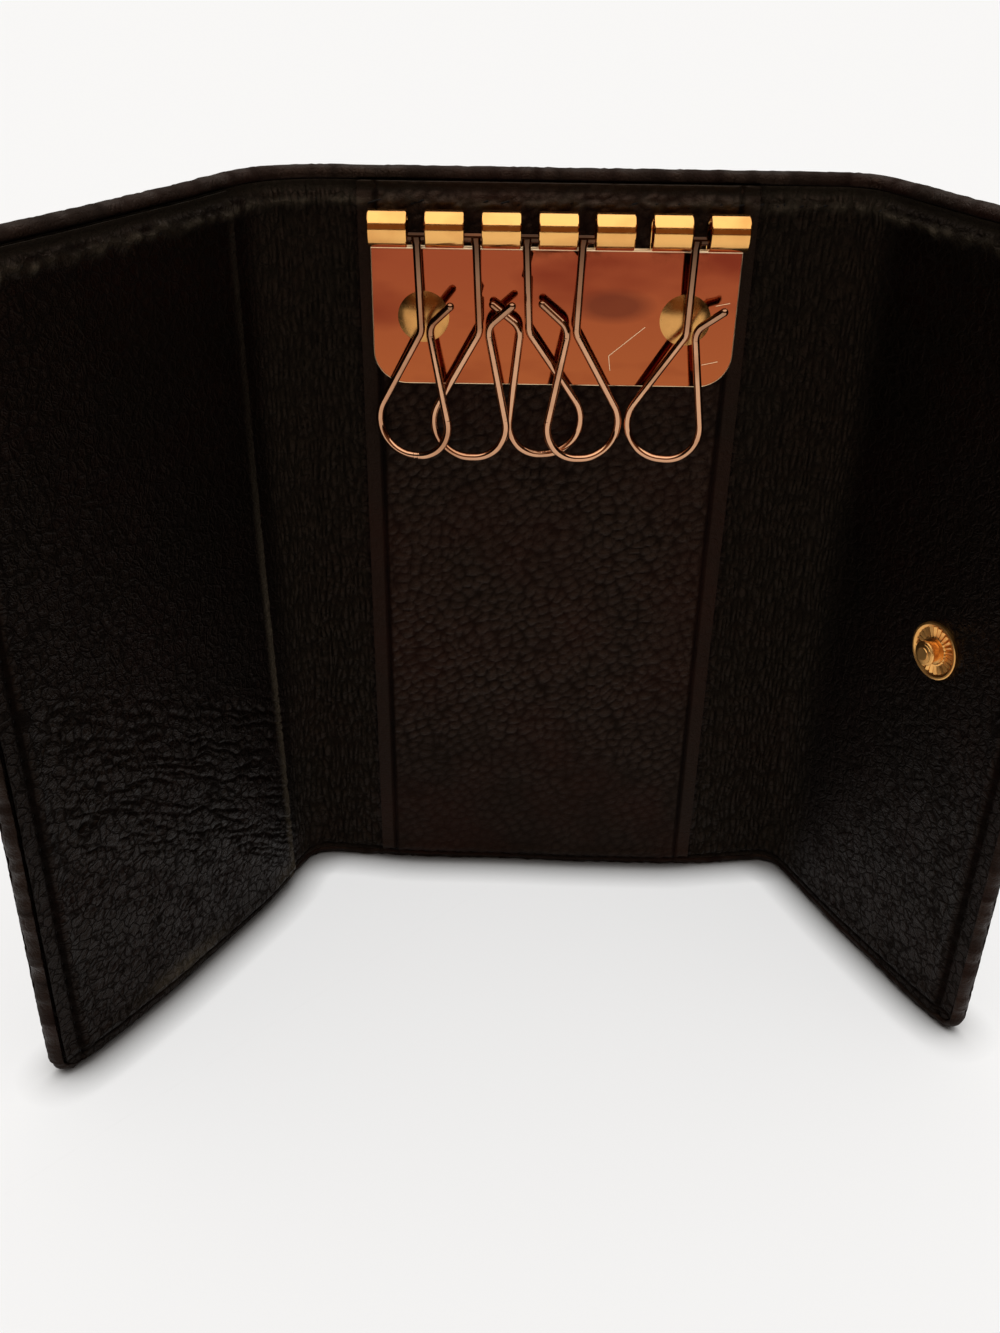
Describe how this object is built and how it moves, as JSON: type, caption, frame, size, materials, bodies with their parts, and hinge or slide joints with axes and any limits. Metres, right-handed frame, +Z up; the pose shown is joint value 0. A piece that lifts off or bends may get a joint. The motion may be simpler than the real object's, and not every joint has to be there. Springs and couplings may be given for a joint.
{
  "type": "key case",
  "caption": "Trifold leather key case with a rolled metal key plate, hanging spring-wire hooks, a slip pocket and a snap fastener, standing open on its edge.",
  "frame": {"origin": "middle of the centre panel's lower edge, on the surface that the open case stands on", "axes": "+X to the right along the centre panel, +Y out through its back, +Z up along the folds"},
  "size_m": [0.1322, 0.0529, 0.115],
  "materials": {
    "outer_leather": "pebbled, satin",
    "lining": "pebbled, satin",
    "board": "matte fibreboard",
    "gold_brass": "polished, gold plated",
    "spring_wire": "polished, rose gold plated"
  },
  "bodies": {
    "centre": {"centre_leather": "outer_leather", "centre_board": "board", "centre_lining": "lining", "centre_strip": "lining", "key_plate": "gold_brass", "plate_rivets": "gold_brass", "rivet_washers": "gold_brass"},
    "left_spine": {"left_spine_leather": "outer_leather", "left_spine_lining": "lining"},
    "left_flap": {"left_fold_leather": "outer_leather", "left_fold_lining": "lining", "left_flap_leather": "outer_leather", "left_flap_board": "board", "left_flap_lining": "lining", "left_pocket_panel": "lining", "snap_socket": "gold_brass", "socket_spring": "spring_wire", "socket_eyelet": "gold_brass"},
    "right_spine": {"right_spine_leather": "outer_leather", "right_spine_lining": "lining"},
    "right_flap": {"right_fold_leather": "outer_leather", "right_fold_lining": "lining", "right_flap_leather": "outer_leather", "right_flap_board": "board", "right_flap_lining": "lining", "snap_stud": "gold_brass", "stud_cap": "gold_brass"},
    "hook_1": {"hook_1": "spring_wire"},
    "hook_2": {"hook_2": "spring_wire"},
    "hook_3": {"hook_3": "spring_wire"},
    "hook_4": {"hook_4": "spring_wire"},
    "hook_6": {"hook_6": "spring_wire"}
  },
  "joints": [
    {"name": "left_inner_fold", "type": "hinge", "parent": "centre", "child": "left_spine", "pos_m": [-0.0301, -0.0033, 0.0575], "axis": [0, 0, 1], "range_deg": [0, 90]},
    {"name": "left_outer_fold", "type": "hinge", "parent": "left_spine", "child": "left_flap", "pos_m": [-0.03675, -0.0033, 0.0575], "axis": [0, 0, 1], "range_deg": [-59.5, 30], "deforming": ["left_fold_leather", "left_fold_lining"]},
    {"name": "right_inner_fold", "type": "hinge", "parent": "centre", "child": "right_spine", "pos_m": [0.0274, -0.0033, 0.0575], "axis": [0, 0, -1], "range_deg": [0, 90]},
    {"name": "right_outer_fold", "type": "hinge", "parent": "right_spine", "child": "right_flap", "pos_m": [0.03985, -0.0033, 0.0575], "axis": [0, 0, -1], "range_deg": [-63.5, 26], "deforming": ["right_fold_leather", "right_fold_lining"]},
    {"name": "hook_3_swing", "type": "hinge", "parent": "centre", "child": "hook_3", "pos_m": [-0.00413, -0.0045, 0.1069], "axis": [1, 0, 0], "range_deg": [-60, 1.5]},
    {"name": "hook_4_swing", "type": "hinge", "parent": "hook_3", "child": "hook_4", "pos_m": [0.00332, -0.0045, 0.1069], "axis": [1, 0, 0], "range_deg": [-90, 0]},
    {"name": "hook_2_swing", "type": "hinge", "parent": "hook_3", "child": "hook_2", "pos_m": [-0.01078, -0.0045, 0.1069], "axis": [1, 0, 0], "range_deg": [-50, 0]},
    {"name": "hook_1_swing", "type": "hinge", "parent": "hook_2", "child": "hook_1", "pos_m": [-0.01862, -0.0045, 0.1069], "axis": [1, 0, 0], "range_deg": [-40, 0]},
    {"name": "hook_6_swing", "type": "hinge", "parent": "centre", "child": "hook_6", "pos_m": [0.01823, -0.0045, 0.1069], "axis": [1, 0, 0], "range_deg": [-150, 2]}
  ]
}
